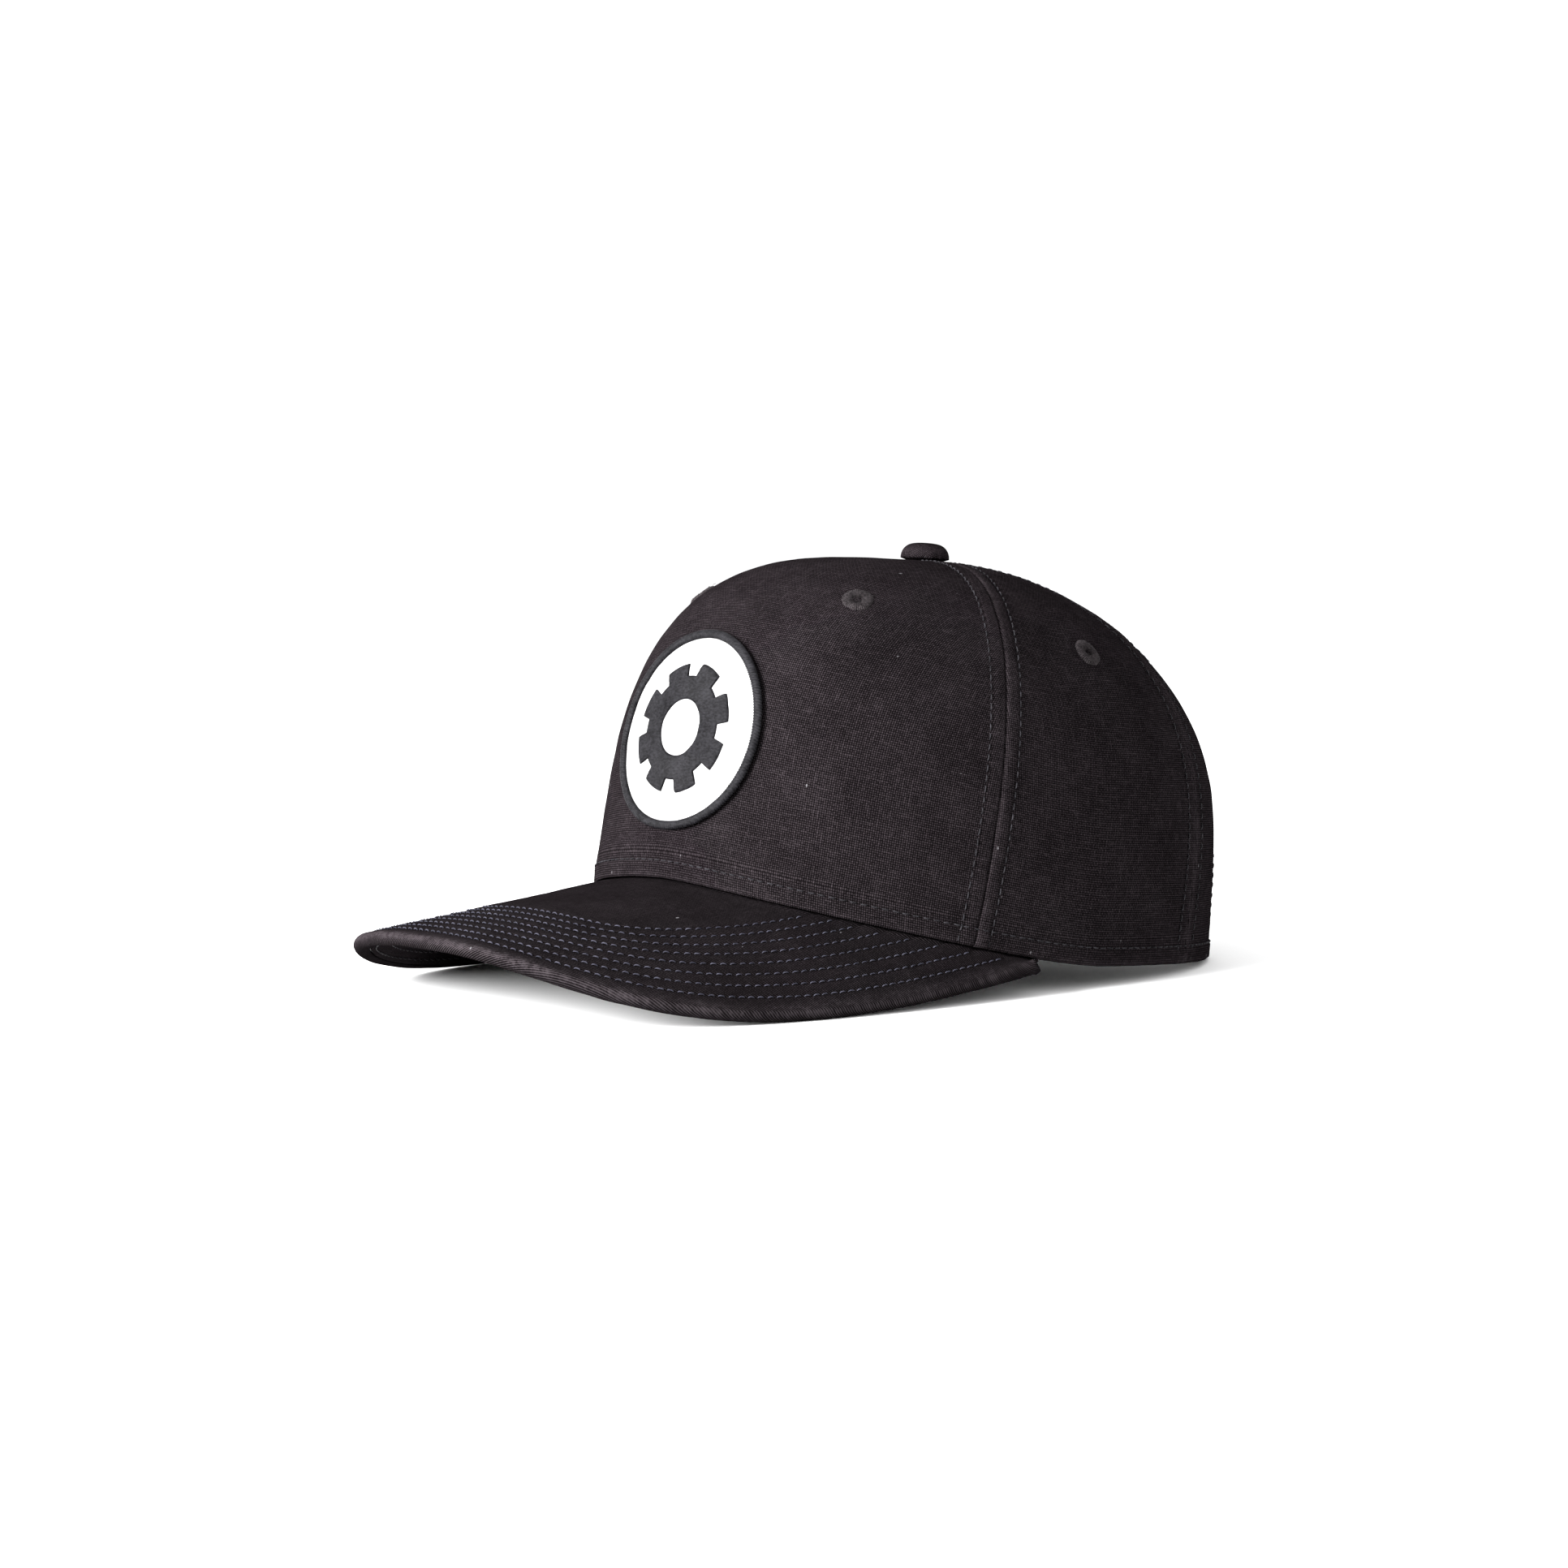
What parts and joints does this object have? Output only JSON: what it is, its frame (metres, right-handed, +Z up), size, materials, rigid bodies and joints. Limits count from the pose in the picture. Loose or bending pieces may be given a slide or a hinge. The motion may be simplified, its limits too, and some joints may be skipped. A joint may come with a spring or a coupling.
{
  "type": "bump cap",
  "caption": "Black fabric bump cap with a curved brim, a round front patch, a snap strap across a rear arch and a removable padded impact insert inside the crown.",
  "frame": {"origin": "centre of the whole cap's footprint, on the table that it rests on", "axes": "+Z is up. The wearer faces -Y, where the brim is, and the wearer's left is +X."},
  "size_m": [0.1706, 0.2768, 0.1294],
  "materials": {
    "crown_canvas": "plain-weave cotton canvas",
    "brim_twill": "cotton twill",
    "buckram": "stiff woven lining",
    "seam_tape": "woven tape",
    "sweatband": "brushed absorbent cotton",
    "black_thread": "rayon and polyester embroidery thread",
    "white_felt": "white felt",
    "brim_board": "polyethylene board",
    "button_steel": "zinc-plated steel",
    "snap_plastic": "moulded polyethylene, satin",
    "shell_abs": "injection-moulded ABS, fine texture",
    "foam": "closed-cell foam",
    "loop_tape": "hook-and-loop tape, loop side",
    "hook_tape": "hook-and-loop tape, hook side"
  },
  "bodies": {
    "insert": {"bump_shell": "shell_abs", "foam_crown": "foam", "foam_front": "foam", "foam_left": "foam", "foam_rear": "foam", "foam_right": "foam", "hook_dot_front": "hook_tape", "hook_dot_left": "hook_tape", "hook_dot_rear": "hook_tape", "hook_dot_right": "hook_tape"},
    "cap": {"arch_binding": "seam_tape", "back_panel_left": "crown_canvas", "back_panel_right": "crown_canvas", "brim_board": "brim_board", "brim_top_cover": "brim_twill", "brim_under_cover": "brim_twill", "button_cover": "crown_canvas", "button_rivet": "button_steel", "button_washer": "button_steel", "eyelet_back_left": "black_thread", "eyelet_back_right": "black_thread", "eyelet_front_left": "black_thread", "eyelet_front_right": "black_thread", "eyelet_side_left": "black_thread", "eyelet_side_right": "black_thread", "front_buckram": "buckram", "front_panel": "crown_canvas", "loop_dot_front": "loop_tape", "loop_dot_left": "loop_tape", "loop_dot_rear": "loop_tape", "loop_dot_right": "loop_tape", "patch_base": "white_felt", "patch_border": "black_thread", "patch_emblem": "black_thread", "seam_tape_back_left": "seam_tape", "seam_tape_back_right": "seam_tape", "seam_tape_front_left": "seam_tape", "seam_tape_front_right": "seam_tape", "seam_tape_rear": "seam_tape", "side_panel_left": "crown_canvas", "side_panel_right": "crown_canvas", "strap_root_left": "snap_plastic", "strap_root_right": "snap_plastic", "sweatband": "sweatband"},
    "outer_strap": {"strap_socket": "snap_plastic"},
    "inner_strap": {"strap_peg": "snap_plastic"}
  },
  "joints": [
    {"name": "insert_removal", "type": "slide", "parent": "insert", "child": "cap", "axis": [0, 0.0779, 0.997], "range_m": [0, 0.13]},
    {"name": "outer_strap_swing", "type": "hinge", "parent": "cap", "child": "outer_strap", "pos_m": [0.04551, 0.12507, 0.01154], "axis": [-0.0072, -0.0938, -0.9956], "range_deg": [0, 40]},
    {"name": "inner_strap_swing", "type": "hinge", "parent": "cap", "child": "inner_strap", "pos_m": [-0.0455, 0.12507, 0.01154], "axis": [0.0072, -0.0938, -0.9956], "range_deg": [0, 30]}
  ]
}
